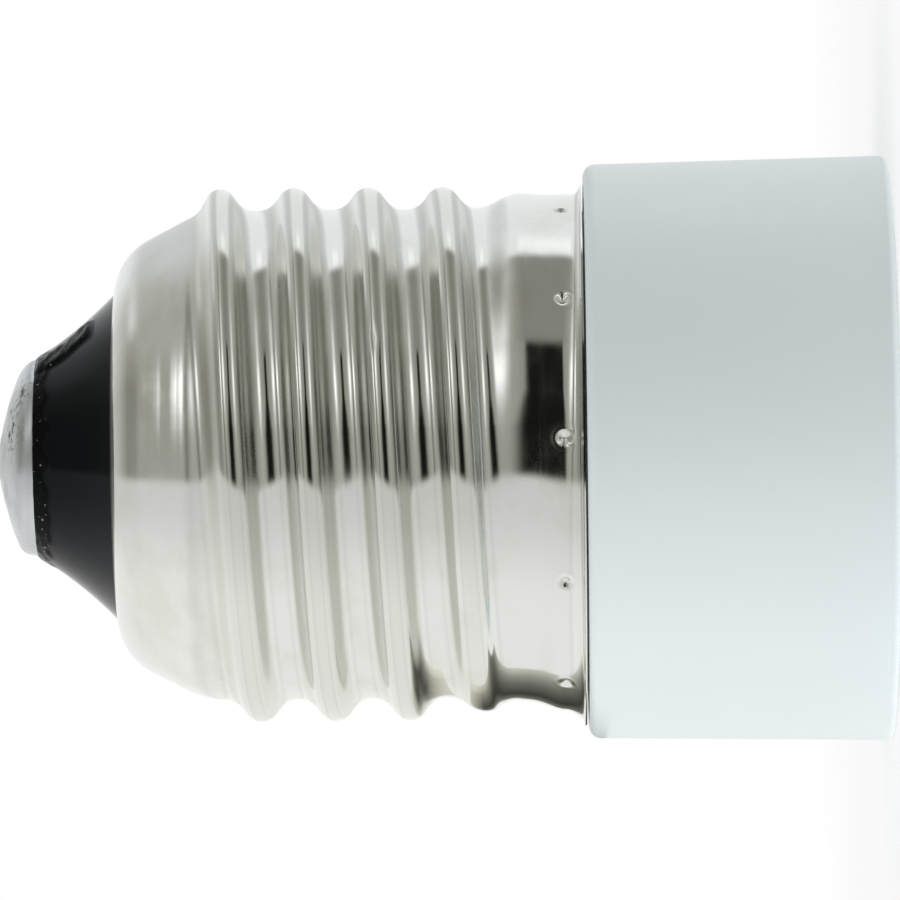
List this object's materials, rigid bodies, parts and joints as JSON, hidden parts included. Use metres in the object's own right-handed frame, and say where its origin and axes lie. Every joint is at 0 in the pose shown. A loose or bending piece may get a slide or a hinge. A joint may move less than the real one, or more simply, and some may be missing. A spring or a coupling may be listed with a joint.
{
  "type": "lamp socket adapter",
  "caption": "Lamp socket adapter: a nickel screw cap with rolled thread, glass insulator and tip contact on a white drum that holds a smaller screw socket with a sprung contact.",
  "frame": {"origin": "centre of the drum's open rim, in the plane of the rim", "axes": "+Z along the adapter's axis, from the socket's mouth to the tip contact of the screw cap; +Y towards the strap that joins the socket to the cap"},
  "size_m": [0.0286, 0.0286, 0.0435],
  "materials": {
    "nickel": "polished nickel plating with smudges",
    "black_glass": "glossy, opaque",
    "tinned_brass": "dull tin with scratches",
    "solder": "dull",
    "white_plastic": "satin",
    "brass": "plain",
    "wire_jacket": "matte"
  },
  "bodies": {
    "adapter": {"cap_shell": "nickel", "cap_insulator": "black_glass", "cap_contact": "tinned_brass", "tip_solder": "solder", "adapter_body": "white_plastic", "socket_shell": "nickel", "centre_rivet": "brass", "shell_rivets": "brass", "neutral_strap": "brass", "live_wire": "wire_jacket", "wire_solder": "solder"},
    "contact": {"centre_contact": "brass"}
  },
  "joints": [
    {"name": "contact_press", "type": "hinge", "parent": "adapter", "child": "contact", "pos_m": [-0.0013, 0, 0.02], "axis": [0, -1, 0], "range_deg": [0, 20], "stiffness_Nm_per_rad": 0.03, "deforming": ["centre_contact"]}
  ]
}
